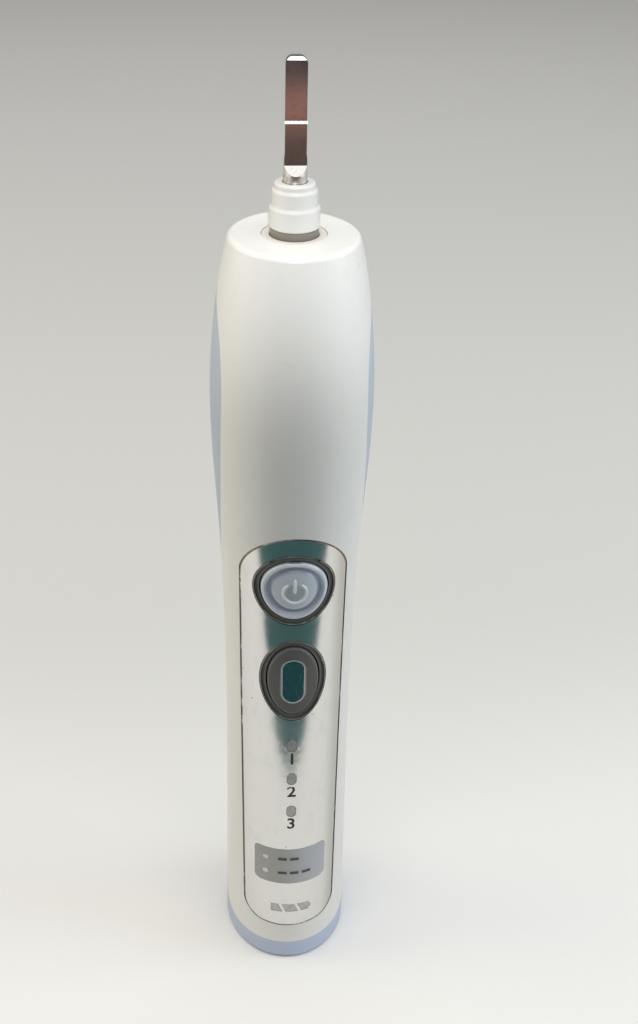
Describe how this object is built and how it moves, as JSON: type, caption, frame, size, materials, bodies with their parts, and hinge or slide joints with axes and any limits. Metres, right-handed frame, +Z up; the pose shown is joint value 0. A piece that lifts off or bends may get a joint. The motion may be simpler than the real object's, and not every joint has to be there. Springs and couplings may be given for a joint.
{
  "type": "electric toothbrush handle",
  "caption": "Sonic toothbrush handle that stands upright: white casing, blue grip, silver panel with buttons and lamps, swinging steel shaft, charging socket in the base.",
  "frame": {"origin": "centre of the charging socket's mouth, on the plane that the handle stands on", "axes": "+Z up along the drive shaft, the face panel and buttons look along -Y, +X to the right seen from the front"},
  "size_m": [0.031, 0.0328, 0.1948],
  "materials": {
    "white_casing": "satin white moulded plastic",
    "blue_grip": "soft-touch pale blue grip",
    "white_base": "fine-textured white plastic",
    "silver_panel": "satin silver painted sheet",
    "panel_edge": "dull grey-brown line",
    "blue_button": "polished pale blue plastic",
    "grey_button": "satin dark grey plastic",
    "dark_gasket": "dark grey moulded rubber",
    "mirror_window": "polished mirror inlay",
    "bright_bezel": "bright plated rim",
    "smoke_lens": "smoked light guide",
    "white_collar": "smooth white moulded plastic",
    "cream_ring": "smooth cream plastic",
    "grey_metal": "turned grey metal",
    "shaft_steel": "polished stainless steel",
    "spring_steel": "blued spring steel",
    "screw_steel": "plated steel",
    "inner_plastic": "natural glass-filled plastic",
    "bush_plastic": "black bearing plastic",
    "seal_rubber": "grey seal rubber",
    "copper_wire": "enamelled copper wire",
    "pin_metal": "tinned brass",
    "core_iron": "stacked iron sheet",
    "magnet_plate": "nickel-plated magnet",
    "battery_sleeve": "wrapped battery can",
    "green_board": "green circuit board",
    "chip_black": "black moulded chip",
    "lamp_white": "small white lamp body"
  },
  "bodies": {
    "handle": {"front_shell": "white_casing", "rear_shell": "blue_grip", "end_cap": "white_base", "end_cap_seal": "seal_rubber", "charging_bobbin": "inner_plastic", "charging_coil": "copper_wire", "charging_pins": "pin_metal", "face_panel": "silver_panel", "panel_trim": "panel_edge", "power_button_gasket": "dark_gasket", "mode_button_gasket": "dark_gasket", "mode_lenses": "smoke_lens", "routine_lenses": "smoke_lens", "battery_lenses": "smoke_lens", "power_switch": "chip_black", "mode_switch": "chip_black", "circuit_board": "green_board", "board_screws": "screw_steel", "indicator_leds": "lamp_white", "control_chips": "chip_black", "chassis": "inner_plastic", "battery_cell": "battery_sleeve", "battery_tabs": "screw_steel", "drive_frame": "inner_plastic", "lower_bush": "bush_plastic", "upper_bush": "bush_plastic", "spring_anchor": "grey_metal", "anchor_screws": "screw_steel", "torsion_spring": "spring_steel", "stator_core": "core_iron", "coil_bobbin": "inner_plastic", "drive_coil": "copper_wire", "drive_pins": "pin_metal", "neck_ring": "cream_ring", "collar_ring": "grey_metal", "shaft_seal": "seal_rubber", "shaft_collar": "white_collar"},
    "drive": {"drive_shaft": "shaft_steel", "rotor_bracket": "screw_steel", "rotor_magnets": "magnet_plate"},
    "power_key": {"power_button": "blue_button", "power_plunger": "bush_plastic"},
    "mode_key": {"mode_button": "grey_button", "mode_window": "mirror_window", "mode_window_bezel": "bright_bezel", "mode_plunger": "bush_plastic"}
  },
  "joints": [
    {"name": "shaft_oscillation", "type": "hinge", "parent": "handle", "child": "drive", "pos_m": [0, 0, 0], "axis": [0, 0, 1], "range_deg": [-9, 9], "stiffness_Nm_per_rad": 1.2, "deforming": ["torsion_spring"]},
    {"name": "power_button_press", "type": "slide", "parent": "handle", "child": "power_key", "axis": [0, 1, 0], "range_m": [0, 0.0005], "stiffness_N_per_m": 2500, "springref_m": -0.0004},
    {"name": "mode_button_press", "type": "slide", "parent": "handle", "child": "mode_key", "axis": [0, 1, 0], "range_m": [0, 0.0005], "stiffness_N_per_m": 2500, "springref_m": -0.0004}
  ]
}
